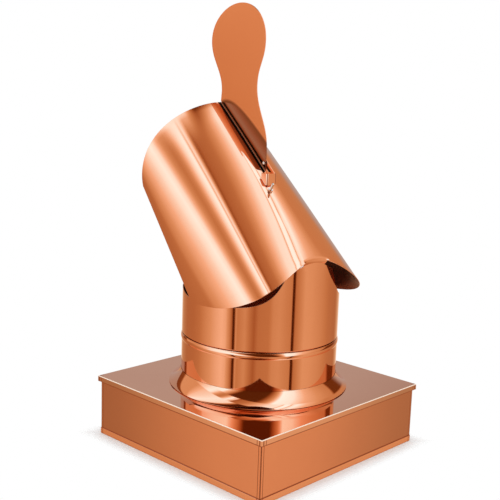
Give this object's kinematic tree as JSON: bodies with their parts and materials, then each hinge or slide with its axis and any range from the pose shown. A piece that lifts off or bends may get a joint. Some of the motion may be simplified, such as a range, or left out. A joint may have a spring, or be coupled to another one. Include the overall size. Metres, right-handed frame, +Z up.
{
  "type": "chimney cowl",
  "caption": "Turning copper chimney cowl: square base, round pipe with a flared collar, slanted hood and a paddle vane on its crest.",
  "frame": {"origin": "on the pipe's axis, level with the underside of the base", "axes": "+Z up along the pipe, X and Y along the sides of the square base; the hood's mouth faces -X, turned 8.1 degrees at rest"},
  "size_m": [0.311, 0.311, 0.5907],
  "materials": {
    "polished_copper": "mirror-polished copper sheet",
    "satin_copper": "satin copper sheet",
    "bolt_metal": "bright plated fastener"
  },
  "bodies": {
    "base": {"base_top": "polished_copper", "base_skirt": "satin_copper", "pipe": "polished_copper", "flared_collar": "polished_copper"},
    "head": {"head_shell": "polished_copper", "vane": "satin_copper", "vane_clip": "polished_copper", "vane_bolt": "bolt_metal", "vane_nut": "bolt_metal", "vane_rivet": "bolt_metal"}
  },
  "joints": [
    {"name": "head_turn", "type": "hinge", "parent": "base", "child": "head", "pos_m": [0, 0, 0.152], "axis": [0, 0, 1], "continuous": true}
  ]
}
